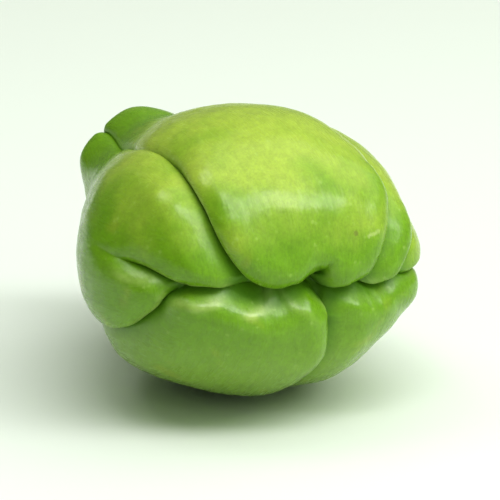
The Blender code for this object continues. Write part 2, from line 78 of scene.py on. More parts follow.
# Each furrow is a course over the skin. A row is: clock, percent, depth, how far the
# left and the right wall reach, overlap (above zero the right wall folds over the
# left one, below zero the left over the right), the height of the rim that swells
# beside it on the left and on the right, and how gently the lower wall slopes in under
# the upper one. Left and right are as seen from outside, going down the list.
FURROWS = {
    # round the top lobe: down from the stem on its left, along the upper lip of the
    # cleft with its notch, and back up to the stem on its right
    "top_lobe": [
        (322, 97, 3.0, 8, 8, 0, 0, 0, 1), (321, 90, 3.8, 9, 9, 0, 0, 0, 1),
        (320, 81, 3.3, 11, 11, 0, 0, 0, 1), (320, 72, 3.2, 11, 11, 0, 0, 0, 1),
        (321, 63, 3.0, 11, 11, 0, 0, 0, 1), (323, 54, 2.5, 12, 12, 0, 0, 0, 1),
        (325, 47, 2.3, 12, 12, 0, 0, 0, 1), (326, 41, 2.8, 11, 11, -0.1, 0, 0, 1.5),
        (324, 35, 3.8, 9, 8, -0.3, 0.3, 0.1, 1.0), (319, 29.5, 4.2, 8, 6.5, -0.5, 0.6, 0.1, 0.8),
        (312, 24.5, 4.8, 8, 5.5, -0.6, 0.9, 0.1, 0.6), (304, 21, 5.2, 7, 5.5, -0.7, 1.1, 0.1, 0.6),
        (295, 18, 5.8, 7, 5.5, -0.7, 1.1, 0.1, 0.6), (284.5, 15.3, 6.5, 8, 6, -0.7, 1.1, 0.2, 0.6),
        (273, 13, 8.0, 9, 7, -0.75, 1.1, 0.5, 0.5), (260.5, 10.4, 9.0, 10, 6.5, -0.8, 1.1, 0.9, 0.1),
        (252, 7.5, 9.5, 10, 6, -0.8, 1.2, 0.9, 0.1), (252, 4.8, 9.5, 9, 5, -0.7, 0.9, 0.9, 0.1),
        (263.5, 2.8, 9.5, 7, 5, -0.5, 0.5, 0.5, 0.1), (286, 1.8, 9.0, 6, 5, -0.3, 0.3, 0.4, 0.4),
        (220.5, 1, 9.0, 7, 6, -0.5, 0.5, 0.1, 0.6), (159, 2, 9.0, 8, 7, -0.6, 0.8, 0.1, 0.8),
        (133.5, 3.6, 8.0, 8, 4.5, -0.7, 1.0, 0.3, 0.6), (115.5, 5.7, 7.0, 7, 3.5, -0.6, 0.9, 0.2, 0.6),
        (102, 7.4, 6.0, 7, 4.5, -0.5, 0.8, 0.1, 0.8), (90, 9, 5.2, 6, 6, -0.6, 0.9, 0.1, 0.8),
        (76, 11, 4.6, 6, 6, -0.6, 1.0, 0.1, 0.8), (64.5, 13.6, 4.3, 6, 6, -0.6, 1.0, 0.1, 0.8),
        (55.5, 16.4, 4.1, 6, 6, -0.6, 0.9, 0.1, 0.8), (50, 20, 3.9, 6, 6.5, -0.6, 0.7, 0.1, 0.8),
        (46, 24.5, 3.5, 7, 7, -0.5, 0.5, 0.1, 1.0), (42, 30.5, 3.1, 8, 8, -0.4, 0.3, 0, 1.0),
        (37, 37.5, 3.0, 9, 10, -0.2, 0.1, 0, 1.5), (32, 45, 2.7, 10, 10, 0, 0, 0, 1),
        (29, 54, 2.7, 11, 11, 0, 0, 0, 1), (28, 66, 3.0, 10, 10, 0, 0, 0, 1),
        (29, 76, 3.6, 9, 9, 0, 0, 0, 1), (30, 84, 4.2, 9, 9, 0, 0, 0, 1),
        (30, 92, 4.2, 8, 8, 0, 0, 0, 1)],
    # the lower lip of the upper left lobe: a crease that deepens on its way forward to
    # the left corner and runs on as the cleft until it goes in under the top lobe
    "cleft_left": [
        (284, 40, 0.0, 8, 8, 0, 0, 0, 1), (283, 36, 0.8, 8, 7, 0, 0, 0.3, 1),
        (282, 33, 1.8, 8, 5.5, -0.1, 0, 0.6, 1), (281, 31, 3.0, 8, 4.5, -0.2, 0, 0.8, 1),
        (279.5, 28.5, 3.9, 8, 4.5, -0.3, 0, 0.8, 1), (277.5, 26, 4.5, 8, 4.5, -0.3, 0.1, 0.7, 0.9),
        (274, 23.3, 5.0, 8, 4.5, -0.35, 0.2, 0.7, 0.7), (271.5, 20.7, 5.6, 8, 4.5, -0.4, 0.3, 0.6, 0.3),
        (269.5, 18, 6.4, 9, 4.5, -0.5, 0.3, 0.9, 0.1), (267.5, 15.1, 7.0, 9, 4.5, -0.6, 0.4, 0.9, 0.1),
        (263, 12.4, 7.5, 9, 5, -0.7, 0.4, 0.8, 0.1), (257, 9.9, 7.5, 8, 5, -0.7, 0, 0.4, 0.1)],
    # the cleft from under the top lobe to its right end, where it fades
    "cleft_right": [
        (113.5, 5.8, 6.5, 6, 5, -0.6, 0, 0.5, 0.5), (111, 9, 6.5, 7, 5, -0.5, 0.4, 0.6, 0.5),
        (106, 11.5, 6.0, 7, 5, -0.4, 0.4, 0.4, 0.5), (101, 14, 5.5, 6, 5, -0.3, 0.3, 0.4, 0.5),
        (98, 17.5, 4.6, 6, 6, 0, 0.2, 0.3, 1), (97, 21, 3.4, 7, 7, 0, 0.1, 0.2, 1),
        (99, 26, 2.0, 8, 8, 0, 0, 0, 1), (102, 31, 0.3, 8, 8, 0, 0, 0, 1)],
    # from the left corner down under the left lobe, and on to the stem
    "lower_left": [
        (272.5, 21.4, 5.5, 5, 5, 0.1, 0.3, 0.5, 1.2), (267, 23.1, 5.5, 5.5, 6, 0.4, 0.3, 0.6, 1.2),
        (259, 25.1, 5.2, 6, 7, 0.5, 0.2, 0.7, 1.2), (253.5, 27.9, 5.0, 7, 8, 0.5, 0.1, 0.6, 1.2),
        (248, 32.2, 4.8, 9, 8, 0.4, 0.4, 0.4, 1.5), (244.5, 38, 4.4, 9, 9, 0.3, 0.2, 0.2, 1.5),
        (244, 45, 3.6, 11, 10, 0.1, 0, 0, 1.5), (245, 53, 3.0, 12, 11, 0, 0, 0, 1),
        (246, 62, 2.8, 11, 11, 0, 0, 0, 1), (247, 74, 3.4, 9, 9, 0, 0, 0, 1),
        (248, 84, 4.2, 9, 9, 0, 0, 0, 1), (247, 93, 4.0, 8, 8, 0, 0, 0, 1)],
    # the pucker that runs up from the notch
    "pucker": [
        (286, 1.8, 8.0, 6, 6, 0, 0, 0, 1), (345.5, 2.2, 7.5, 6, 6, 0.3, 0.2, 0.5, 1.5),
        (1.5, 3.0, 3.0, 8, 8, 0.2, 0.1, 0.3, 1.5), (12, 3.9, 1.1, 9, 9, 0, 0, 0.1, 1.5),
        (18, 4.8, 0.0, 9, 9, 0, 0, 0, 1)],
    # outlines the small lobe above the cleft's right end
    "right_lobe": [
        (93, 14.5, 4.4, 5, 7, -0.4, 0.3, 0, 1.5), (86, 16, 4.2, 5, 8, -0.5, 0.4, 0, 1.5),
        (79, 18.5, 3.8, 5, 8, -0.5, 0.4, 0, 1.5), (73, 22, 3.2, 6, 8, -0.4, 0.3, 0, 1.5),
        (70, 27, 2.4, 6, 8, -0.3, 0.1, 0, 1.5), (71, 34, 1.5, 8, 8, 0, 0, 0, 1),
        (76, 42, 0.5, 9, 9, 0, 0, 0, 1), (81, 50, 0.0, 9, 9, 0, 0, 0, 1)],
    # from the notch down the middle and under the fruit, and on to the stem
    "bottom": [
        (266.5, 1.6, 9.0, 6, 6, 0, 0.3, 0.3, 1), (180, 1.9, 7.5, 8, 6, 0.4, 0.1, 0.6, 1.2),
        (158, 4.0, 6.5, 8, 6, 0.6, 0, 0.9, 1.2), (162.5, 6.3, 6.0, 8, 6, 0.7, 0, 1.0, 1.2),
        (166.5, 8.8, 5.6, 8, 6, 0.7, 0, 1.0, 1.2), (171, 13.4, 5.2, 8, 6, 0.7, 0, 0.8, 1.2),
        (175, 19.1, 4.8, 8, 7, 0.5, 0, 0.5, 1.5), (177, 27, 4.0, 9, 8, 0.3, 0, 0.2, 1.5),
        (180, 34, 3.2, 9, 9, 0.1, 0, 0, 1.5), (187, 42, 2.4, 10, 10, 0, 0, 0, 1),
        (190, 50, 1.8, 11, 11, 0, 0, 0, 1), (191, 60, 1.5, 11, 11, 0, 0, 0, 1),
        (191, 70, 1.8, 10, 10, 0, 0, 0, 1), (190, 80, 2.6, 9, 9, 0, 0, 0, 1),
        (190, 90, 3.6, 8, 8, 0, 0, 0, 1)],
    # between the two lobes right of that, and on to the stem
    "lower_right": [
        (104, 8.4, 3.5, 6, 6, 0, 0, 0, 1), (106, 10.9, 1.4, 7, 7, 0, 0, 0, 1),
        (112, 13.5, 0.3, 7, 7, 0, 0, 0, 1), (119, 17.5, 0.0, 8, 8, 0, 0, 0, 1),
        (125, 22.5, 0.0, 9, 9, 0, 0, 0, 1), (129, 28, 0.6, 10, 10, 0, 0, 0, 1),
        (131, 36, 1.4, 11, 11, 0, 0, 0, 1), (130, 46, 1.8, 11, 11, 0, 0, 0, 1),
        (128, 57, 2.4, 11, 11, 0, 0, 0, 1), (126, 68, 3.0, 10, 10, 0, 0, 0, 1),
        (124, 80, 4.0, 9, 9, 0, 0, 0, 1), (124, 91, 4.4, 8, 8, 0, 0, 0, 1)],
}

# clock, percent, radius, height: soft swellings, and dents where the height is below zero
SWELLINGS = [
    (122, 21, 8, 1.2), (137, 21, 11, -1.6), (64, 24, 10, -1.4),
    (208, 38, 13, -1.0), (311, 28, 10, 2.4),
    (0, 100, 7, -3.0),    # the dimple that the stem left
]

# Low crests along the edges of the lower lobes, and valleys where the height is below
# zero, in rows of clock, percent, height, width
CRESTS = {
    "bottom_lobe_left": [
        (257, 24.8, 0.0, 1.8), (263, 23.1, 0.5, 1.6), (266, 21.2, 0.8, 1.5), (265, 19.2, 0.8, 1.4),
        (266, 16.4, 0.8, 1.4), (267, 14.3, 0.2, 1.4)],
    "bottom_lobe_right": [
        (262, 14, 0.2, 1.4), (255, 12.5, 0.8, 1.5), (254, 9.6, 0.8, 1.5), (255, 7.3, 0.8, 1.5),
        (245, 6.0, 0.6, 1.5), (219, 5.1, 0.4, 1.5), (202, 6.5, 0.2, 1.5), (195, 9, 0.0, 1.5)],
    "left_lobe": [
        (280, 36, 0.0, 2.5), (277, 33, 0.5, 2.2), (275.5, 31.1, 0.7, 2.0), (275.5, 28.8, 0.7, 2.0),
        (275.5, 26.6, 0.6, 1.8), (276, 24.3, 0.1, 1.6)],
    "below_the_notch": [(122, 3.3, 0.0, 1.3), (110, 4.3, 0.5, 1.3), (101, 5.4, 0.0, 1.3)],
    "right_valley": [
        (105, 9, -0.3, 2.5), (108, 12, -0.9, 3.0), (114, 15, -1.2, 3.5), (120, 18.5, -1.3, 4.0),
        (125, 23, -1.1, 4.5), (129, 28, -0.7, 5.0), (131, 34, 0.0, 5.0)],
    "right_rib_upper": [(103, 7.0, 0.0, 0.9), (107, 7.8, 0.2, 0.9), (119, 9.4, 0.2, 1.0),
                        (130, 11.2, 0.1, 1.0), (134, 12.0, 0.0, 1.0)],
    "right_rib_lower": [(103, 8.4, 0.0, 0.9), (107, 9.4, 0.2, 0.9), (117, 11.8, 0.2, 1.0),
                        (127, 14.1, 0.15, 1.0), (135, 16.4, 0.0, 1.0)],
}

FURROW_ROUNDING = 0.7     # radius at the bottom of a furrow
JOINING = 3.0             # how sharply furrows that meet run into each other
RIM_LIMIT = 2.0           # no rim is higher
WAVE = 0.3                # height of the slow waviness of the skin

# faint folds that the CAD solid leaves out, in rows as above
FAINT_FURROWS = {
    "beside_right_lobe": [
        (40, 23.5, 0.0, 3, 3, 0, 0, 0, 1.5), (44, 21.5, 1.0, 3, 3, -0.4, 0, 0, 1.5),
        (49, 19.7, 1.4, 3, 3, -0.4, 0, 0, 1.5), (53.5, 17.3, 1.0, 3, 3, -0.3, 0, 0, 1.5),
        (58, 14.6, 0.0, 3, 3, 0, 0, 0, 1.5)],
}

# ------------------------------------------------------------------ the smooth body
def closed_spline(points, steps):
    """Closed curve through the points, smooth to the second derivative."""
    p = np.asarray(points, float)
    m = len(p)
    h = np.linalg.norm(np.roll(p, -1, 0) - p, axis=1) ** 0.5
    a = np.zeros((m, m))
    b = np.zeros_like(p)
    for i in range(m):
        j = (i + 1) % m
        a[i, i - 1] += h[i - 1]
        a[i, i] += 2 * (h[i - 1] + h[i])
        a[i, j] += h[i]
        b[i] = 6 * ((p[j] - p[i]) / h[i] - (p[i] - p[i - 1]) / h[i - 1])
    bend = np.linalg.solve(a, b)
    t = (np.arange(steps) / steps)[:, None]
    u = 1 - t
    return np.vstack([
        u * p[i] + t * p[(i + 1) % m]
        + ((u ** 3 - u) * bend[i] + (t ** 3 - t) * bend[(i + 1) % m]) * h[i] ** 2 / 6
        for i in range(m)])


def unit(v):
    return v / (np.linalg.norm(v, axis=-1, keepdims=True) + 1e-15)


def direction(clock, percent):
    """Unit vector of the place on a sphere; -Y is the blossom pole."""
    c = np.radians(clock)
    a = np.radians(np.asarray(percent, float) * 1.8)
    return np.stack([np.sin(a) * np.sin(c), -np.cos(a), np.sin(a) * np.cos(c)], -1)


class Body:
    """The pear shape without its furrows, lofted through the stations."""

    def __init__(self, stations):
        st = np.array(stations, float)
        back = st[-2:0:-1].copy()
        back[:, 1:5] *= -1                       # the far side closes the outline
        steps = 40
        half = closed_spline(np.vstack([st, back]), steps)[:(len(st) - 1) * steps + 1]
        half[0], half[-1] = st[0], st[-1]
        run = np.hypot(np.diff(half[:, 0]), np.diff(half[:, 1:5].mean(1)))
        self.arc = np.r_[0, np.cumsum(run)]
        self.arc /= self.arc[-1]
        self.table = half

    def at(self, dirs):
        s = np.arccos(np.clip(-dirs[:, 1], -1, 1)) / np.pi
        g = np.hypot(dirs[:, 0], dirs[:, 2]) + 1e-12
        side, height = dirs[:, 0] / g, dirs[:, 2] / g
        t = [np.interp(s, self.arc, self.table[:, k]) for k in range(7)]
        a = np.where(side >= 0, t[1], t[2])
        b = np.where(height >= 0, t[3], t[4])
        return np.stack([t[5] + a * side, -t[0], t[6] + b * height], 1)

    def normal(self, dirs, e=1e-3):
        ref = np.where(np.abs(dirs[:, 1:2]) < 0.9, [[0.0, 1.0, 0.0]], [[1.0, 0.0, 0.0]])
        u = unit(np.cross(dirs, ref))
        v = np.cross(dirs, u)
        du = self.at(unit(dirs + e * u)) - self.at(unit(dirs - e * u))
        dv = self.at(unit(dirs + e * v)) - self.at(unit(dirs - e * v))
        n = unit(np.cross(du, dv))
        return n * np.sign((n * dirs).sum(1, keepdims=True))


# ------------------------------------------------------------------ furrows
def smooth_course(points, steps):
    """Curve through the points, with a tangent along its neighbours at each."""
    q = np.vstack([2 * points[0] - points[1], points, 2 * points[-1] - points[-2]])
    t = (np.arange(steps) / steps)[:, None]
    out = []
    for a, b, c, d in zip(q, q[1:], q[2:], q[3:]):
        out.append(0.5 * (2 * b + (c - a) * t + (2 * a - 5 * b + 4 * c - d) * t ** 2
                          + (3 * b - a - 3 * c + d) * t ** 3))
    return np.vstack(out + [points[-1:]])


class Furrow:
    """A course over the body and what its walls do at each point of it."""

    def __init__(self, body, rows):
        rows = np.array(rows, float)
        d = unit(smooth_course(direction(rows[:, 0], rows[:, 1]), 14))
        k = np.linspace(0, len(rows) - 1, len(d))
        self.values = np.stack([np.interp(k, np.arange(len(rows)), rows[:, j])
                                for j in range(2, 9)], 1)
        self.points = body.at(d)
        normals = body.normal(d)
        across = np.cross(unit(np.gradient(self.points, axis=0)), normals)
        w = np.hanning(21)[1:-1]
        w /= w.sum()
        across = np.stack([np.convolve(np.pad(across[:, j], 9, mode="edge"), w, "valid")
                           for j in range(3)], 1)
        self.across = unit(across - normals * (across * normals).sum(1, keepdims=True))
        has_rim = np.abs(self.values[:, 4:6]).max() > 0
        self.reach = self.values[:, 1:3].max() * (2.4 if has_rim else 1.05) + 1

    def nearest(self, pts):
        """For the points in reach: which, how far, on which side, and the values there."""
        low, high = self.points.min(0) - self.reach, self.points.max(0) + self.reach
        which = np.where(((pts > low) & (pts < high)).all(1))[0]
        start = self.points[:-1]
        leg = self.points[1:] - start
        leg2 = (leg ** 2).sum(1)
        dist = np.empty(len(which))
        seg = np.empty(len(which), int)
        frac = np.empty(len(which))
        for c in range(0, len(which), 8000):
            w = pts[which[c:c + 8000]][:, None] - start[None]
            t = np.clip((w * leg).sum(2) / leg2, 0, 1)
            q = ((w - t[..., None] * leg) ** 2).sum(2)
            j = q.argmin(1)
            r = np.arange(len(j))
            dist[c:c + 8000], seg[c:c + 8000] = np.sqrt(q[r, j]), j
            frac[c:c + 8000] = t[r, j]
        keep = dist < self.reach
        which, dist, seg, frac = which[keep], dist[keep], seg[keep], frac[keep][:, None]

        def mix(table):
            return table[seg] * (1 - frac) + table[seg + 1] * frac
        near, across = mix(self.points), mix(self.across)
        side = ((pts[which] - near) * across).sum(1)
        return which, dist, side, mix(self.values), across, near


def pillow(t, n):
    """Round shoulder: 0 and upright at t = 0, 1 and level at t = 1."""
    return (1 - (1 - t) ** n) ** (1 / n)


def shelf(o, slope):
    """How much a wall is a level shelf with a firm edge: a lower wall of little slope is."""
    return np.clip(-3 * o, 0, 1) * np.clip(1.1 - slope, 0, 1)


def lean(side, sink, values):
    """Share of its overlap that a wall has at its depth: a shelf leans in only deep down."""
    depth, over, slope = values[:, 0], values[:, 3], values[:, 6]
    level = shelf(np.clip(over, -1, 1) * np.tanh(side), slope)
    return np.clip(sink / np.maximum(depth, 0.5), 1e-3, 1) ** level


def walls(dist, side, values):
    """Depth of the furrow and height of its rim, at a distance from its course."""
    depth, left, right, over, rim_left, rim_right, slope = values.T
    hand = np.tanh(side)
    k = 0.5 + 0.5 * hand
    reach = left * (1 - k) + right * k
    rim = rim_left * (1 - k) + rim_right * k
    o = np.clip(over, -1, 1) * hand              # above zero: this wall is the upper one
    d = np.maximum(np.sqrt(dist ** 2 + FURROW_ROUNDING ** 2) - FURROW_ROUNDING, 0)
    t = np.clip(d / reach, 0, 1)
    m = np.clip(-o * slope, 0, 1)
    square = 2 + 0.6 * np.maximum(o, 0) + 1.2 * shelf(o, slope)
    sink = depth * ((1 - m) * (1 - pillow(t, square)) + m * (1 - t) ** 2)
    t = d / reach
    rise = rim * np.exp(-((t - 0.95) / np.where(t < 0.95, 0.45, 0.7)) ** 2)
    return sink, rise


def crests(body, pts):
    """Height of the crests over the points."""
    height = np.zeros(len(pts))
    for rows in CRESTS.values():
        course = Furrow(body, [(clock, percent, high, wide, 2 * wide, 0, 0, 0, 1)
                               for clock, percent, high, wide in rows])
        which, dist, side, val, across, near = course.nearest(pts)
        rise = val[:, 0] * np.exp(-(dist / val[:, 1]) ** 2)
        height[which] += rise
    return height


def gather(pts, furrows, reach=6.0, power=0.9):
    """Draws the points towards the furrows, so that their walls get more of them."""
    best = np.full(len(pts), 1e9)
    target = pts.copy()
    factor = np.ones(len(pts))
    for f in furrows:
        which, dist, side, val, across, near = f.nearest(pts)
        r = np.minimum(reach, 0.8 * np.minimum(val[:, 1], val[:, 2]) + 1.0)
        k = np.clip(dist / r, 1e-4, 1) ** (power * np.clip(val[:, 0] / 3, 0, 1))
        m = (dist < best[which]) & (dist < r)
        best[which[m]], target[which[m]], factor[which[m]] = dist[m], near[m], k[m]
    return target + (pts - target) * factor[:, None]


def waviness(dirs):
    """A slow uneven swell over the whole skin, between -1 and 1."""
    x, y, z = dirs.T
    return (np.sin(3.1 * x + 1.7 * z + 0.4) * np.sin(2.3 * y - 1.1 * x + 1.9)
            + 0.6 * np.sin(5.3 * z - 2.2 * y + 2.6) * np.sin(4.4 * x + 1.3)
            + 0.4 * np.sin(8.1 * y + 3.0 * z) * np.sin(6.7 * x - 2.9 * z + 0.8)) / 2.0


def skin(dirs):
    """Positions on the finished skin, mm, for unit vectors from the middle."""
    body = Body(STATIONS)
    furrows = [Furrow(body, rows) for rows in FURROWS.values()]
    pts, normals = gather(body.at(dirs), furrows), body.normal(dirs)
    power = np.zeros(len(pts))
    plain = np.zeros(len(pts))
    rise = np.zeros(len(pts))
    slide = np.zeros_like(pts)
    for f in furrows:
        which, dist, side, val, across, near = f.nearest(pts)
        sink, rim = walls(dist, side, val)
        power[which] += sink ** JOINING
        plain[which] += sink
        slide[which] += (val[:, 3] * sink * lean(side, sink, val))[:, None] * across
        rise[which] += rim
    sink = power ** (1 / JOINING)
    slide *= (sink / np.maximum(plain, 1e-9))[:, None]
    slide -= normals * (slide * normals).sum(1, keepdims=True)
    rise = RIM_LIMIT * np.tanh(rise / RIM_LIMIT) + WAVE * waviness(dirs) + crests(body, pts)
    for clock, percent, radius, height in SWELLINGS:
        middle = body.at(direction(np.array([clock]), np.array([percent])))
        rise += height * np.exp(-((pts - middle) ** 2).sum(1) / radius ** 2)
    out = pts + normals * (rise - sink)[:, None] + slide
    out[:, 2] += AXIS_HEIGHT
    out[:, 2] = np.maximum(out[:, 2], SURFACE)
    return out

# ------------------------------------------------------------------ finer shape
def all_furrows(body):
    rows = list(FURROWS.values()) + list(FAINT_FURROWS.values())
    return [Furrow(body, r) for r in rows]


def hills(points, size, seed, count=40):
    """Smooth random hills of about the given size, mm: about -1 to 1."""
    rng = np.random.default_rng(seed)
    ways = unit(rng.normal(size=(count, 3))) * (2 * np.pi / size) \
        * rng.uniform(0.6, 1.4, (count, 1))
    phases = rng.uniform(0, 2 * np.pi, count)
    return np.cos(points @ ways.T + phases).sum(1) / np.sqrt(count)


def even_out(pts, faces, weight, rounds):
    """Moves each point part of the way to the middle of its neighbours."""
    a = np.concatenate([faces[:, k] for k in range(4)])
    b = np.concatenate([faces[:, (k + 1) % 4] for k in range(4)])
    count = (np.bincount(a, minlength=len(pts)) + np.bincount(b, minlength=len(pts)))[:, None]
    for _ in range(rounds):
        total = np.stack([np.bincount(a, pts[b, k], len(pts))
                          + np.bincount(b, pts[a, k], len(pts)) for k in range(3)], 1)
        pts = pts + weight[:, None] * (total / count - pts)
    return pts


def facing(pts, faces):
    """Outward normals of the points."""
    p = pts[faces]
    n = np.cross(p[:, 2] - p[:, 0], p[:, 3] - p[:, 1])
    out = np.stack([sum(np.bincount(faces[:, k], n[:, j], len(pts)) for k in range(4))
                    for j in range(3)], 1)
    return unit(out)


def ball():
    """A cube's even grid on a ball, a little finer towards the blossom end."""
    bm = bmesh.new()
    bmesh.ops.create_cube(bm, size=2.0)
    bmesh.ops.subdivide_edges(bm, edges=bm.edges[:], cuts=CELLS - 1, use_grid_fill=True)
    bmesh.ops.recalc_face_normals(bm, faces=bm.faces[:])
    bm.verts.ensure_lookup_table()
    bm.verts.index_update()
    cube = np.array([v.co[:] for v in bm.verts])
    faces = np.array([[v.index for v in f.verts] for f in bm.faces])
    bm.free()
    round_ = unit(np.tan(cube * np.pi / 4))
    polar = np.arccos(np.clip(-round_[:, 1], -1, 1))
    moved = polar - FRONT_FINENESS * np.sin(polar)
    ratio = np.sin(moved) / np.maximum(np.sin(polar), 1e-9)
    dirs = unit(np.stack([round_[:, 0] * ratio, -np.cos(moved), round_[:, 2] * ratio], 1))
    return dirs, faces


def fruit_surface():
    """Points in mm with the origin under the middle, faces, and fields over the skin."""
    dirs, faces = ball()
    body = Body(STATIONS)
    furrows = all_furrows(body)
    base, near = gathered(body, furrows, dirs)
    pts, fold, lip = folded(body, furrows, dirs, base)
    # even out the folds a little, and the wide skin between them more
    pts = even_out(pts, faces, 0.5 * np.clip(1.3 - near / 4.0, 0, 1), 2)
    pts = even_out(pts, faces, 0.5 * np.clip((near - 2.5) / 3.0, 0, 1), 30)
    normals = facing(pts, faces)
    away = np.clip(near / 5.0, 0, 1)
    lumps = 0.10 * hills(pts, 15.0, 3) + 0.035 * hills(pts, 6.5, 4)
    pts = pts + normals * (lumps * (0.3 + 0.7 * away))[:, None]

    middle = (pts.min(0) + pts.max(0)) / 2
    pts[:, :2] -= middle[:2]
    pts[:, 2] = np.maximum(pts[:, 2], SURFACE)
    low, high = pts.min(0), pts.max(0)
    to_low, to_high = NODE_LOW / MM + INSET, NODE_HIGH / MM - INSET
    to_low[2] = NODE_LOW[2] / MM
    pts = to_low + (pts - low) / (high - low) * (to_high - to_low)

    polar = np.arccos(np.clip(-dirs[:, 1], -1, 1))
    turn = unit(np.stack([dirs[:, 0], dirs[:, 2]], 1) + 1e-9)
    grain = np.stack([turn[:, 0] * 38, turn[:, 1] * 38, polar * 60], 1) * MM
    # the height share drives the painted light on the top and the painted bounce light underneath; the
    # lip and crest fields drive a painted sheen and a painted highlight
    fields = {"crease": fold, "lip": lip, "near": np.clip(near / 10.0, 0, 1),
              "painted_light_height": np.clip(pts[:, 2] / 79.0, 0, 1)}
    fields["side"] = np.abs(facing(pts, faces)[:, 0])
    fields["crest_highlight"] = np.clip(crests(body, base) / 0.8, 0, 1) ** 2
    spots = {}
    for name, (clock, percent) in SPOTS.items():
        there = body.at(direction(np.array([clock]), np.array([percent])))
        spots[name] = tuple(pts[((base - there) ** 2).sum(1).argmin()] * MM)
    return pts, faces, fields, grain, spots


def gathered(body, furrows, dirs):
    base = gather(body.at(dirs), furrows, 9.0, 1.15)
    near = np.full(len(base), 99.0)
    for f in furrows:
        which, dist, *_ = f.nearest(base)
        near[which] = np.minimum(near[which], dist)
    return base, near


def folded(body, furrows, dirs, pts):
    """The furrowed skin, how deep in a furrow each point is, and how near a fold's lip."""
    normals = body.normal(dirs)
    power = np.zeros(len(pts))
    plain = np.zeros(len(pts))
    rise = np.zeros(len(pts))
    slide = np.zeros_like(pts)
    lip = np.zeros(len(pts))
    for f in furrows:
        which, dist, side, val, across, near = f.nearest(pts)
        sink, rim = walls(dist, side, val)
        upper = np.clip(2 * val[:, 3] * np.tanh(side), 0, 1) * np.clip(val[:, 0] / 4, 0, 1)
        lip[which] = np.maximum(lip[which], upper * np.exp(-((dist - 1.5) / 0.8) ** 2))
        power[which] += sink ** JOINING
        plain[which] += sink
        slide[which] += (val[:, 3] * sink * lean(side, sink, val))[:, None] * across
        rise[which] += rim
    sink = power ** (1 / JOINING)
    slide *= (sink / np.maximum(plain, 1e-9))[:, None]
    slide -= normals * (slide * normals).sum(1, keepdims=True)
    rise = RIM_LIMIT * np.tanh(rise / RIM_LIMIT) + WAVE * waviness(dirs) + crests(body, pts)
    for clock, percent, radius, height in SWELLINGS:
        middle = body.at(direction(np.array([clock]), np.array([percent])))
        rise += height * np.exp(-((pts - middle) ** 2).sum(1) / radius ** 2)
    out = pts + normals * (rise - sink)[:, None] + slide
    out[:, 2] += AXIS_HEIGHT
    return out, np.clip(sink / 5.0, 0, 1), lip


def fruit_piece():
    pts, faces, fields, grain, spots = fruit_surface()
    mesh = bpy.data.meshes.new("chayote_skin")
    mesh.vertices.add(len(pts))
    mesh.vertices.foreach_set("co", (pts * MM).astype(np.float32).ravel())
    mesh.loops.add(faces.size)
    mesh.loops.foreach_set("vertex_index", faces.astype(np.int32).ravel())
    mesh.polygons.add(len(faces))
    mesh.polygons.foreach_set("loop_start", np.arange(0, faces.size, 4, dtype=np.int32))
    mesh.update(calc_edges=True)
    mesh.validate()
    mesh.shade_smooth()
    for name, values in fields.items():
        at = mesh.attributes.new(name, "FLOAT", "POINT")
        at.data.foreach_set("value", values.astype(np.float32))
    at = mesh.attributes.new("grain", "FLOAT_VECTOR", "POINT")
    at.data.foreach_set("vector", grain.astype(np.float32).ravel())
    piece = bpy.data.objects.new("chayote_skin", mesh)
    bpy.context.scene.collection.objects.link(piece)
    mesh.materials.append(skin_material(spots))
    return piece


# ------------------------------------------------------------------ the skin's material
class Nodes:
    """Short hand for building a node tree."""

    def __init__(self, tree):
        self.tree = tree
        tree.nodes.clear()

    def add(self, kind, inputs=None, **settings):
        node = self.tree.nodes.new(kind)
        for key, value in settings.items():
            setattr(node, key, value)
        for key, value in (inputs or {}).items():
            socket = node.inputs[key]
            if isinstance(value, bpy.types.NodeSocket):
                self.tree.links.new(value, socket)
            else:
                socket.default_value = value
        return node

    def field(self, name):
        return self.add("ShaderNodeAttribute", attribute_name=name).outputs["Fac"]

    def apart(self, place, spot):
        """Distance of the place from a spot."""
        return self.add("ShaderNodeVectorMath", {0: place, 1: spot}, operation="DISTANCE"
                        ).outputs["Value"]

    def vector(self, name):
        return self.add("ShaderNodeAttribute", attribute_name=name).outputs["Vector"]

    def math(self, operation, a, b=0.0, c=0.0, clamp=False):
        return self.add("ShaderNodeMath", {0: a, 1: b, 2: c}, operation=operation,
                        use_clamp=clamp).outputs[0]

    def span(self, value, low, high, to_low=0.0, to_high=1.0):
        return self.add("ShaderNodeMapRange", {"Value": value, "From Min": low, "From Max": high,
                                               "To Min": to_low, "To Max": to_high},
                        interpolation_type="SMOOTHSTEP").outputs["Result"]

    def noise(self, where, scale, detail=2.0, roughness=0.5):
        return self.add("ShaderNodeTexNoise", {"Vector": where, "Scale": scale,
                                               "Detail": detail, "Roughness": roughness}
                        ).outputs["Fac"]

    def stretch(self, where, scale):
        return self.add("ShaderNodeMapping", {"Vector": where, "Scale": scale}).outputs["Vector"]

    def mix(self, factor, a, b, blend="MIX"):
        node = self.add("ShaderNodeMix", data_type="RGBA", blend_type=blend)
        for key, value in ((0, factor), (6, a), (7, b)):
            socket = node.inputs[key]
            if isinstance(value, bpy.types.NodeSocket):
                self.tree.links.new(value, socket)
            else:
                socket.default_value = value
        return node.outputs[2]


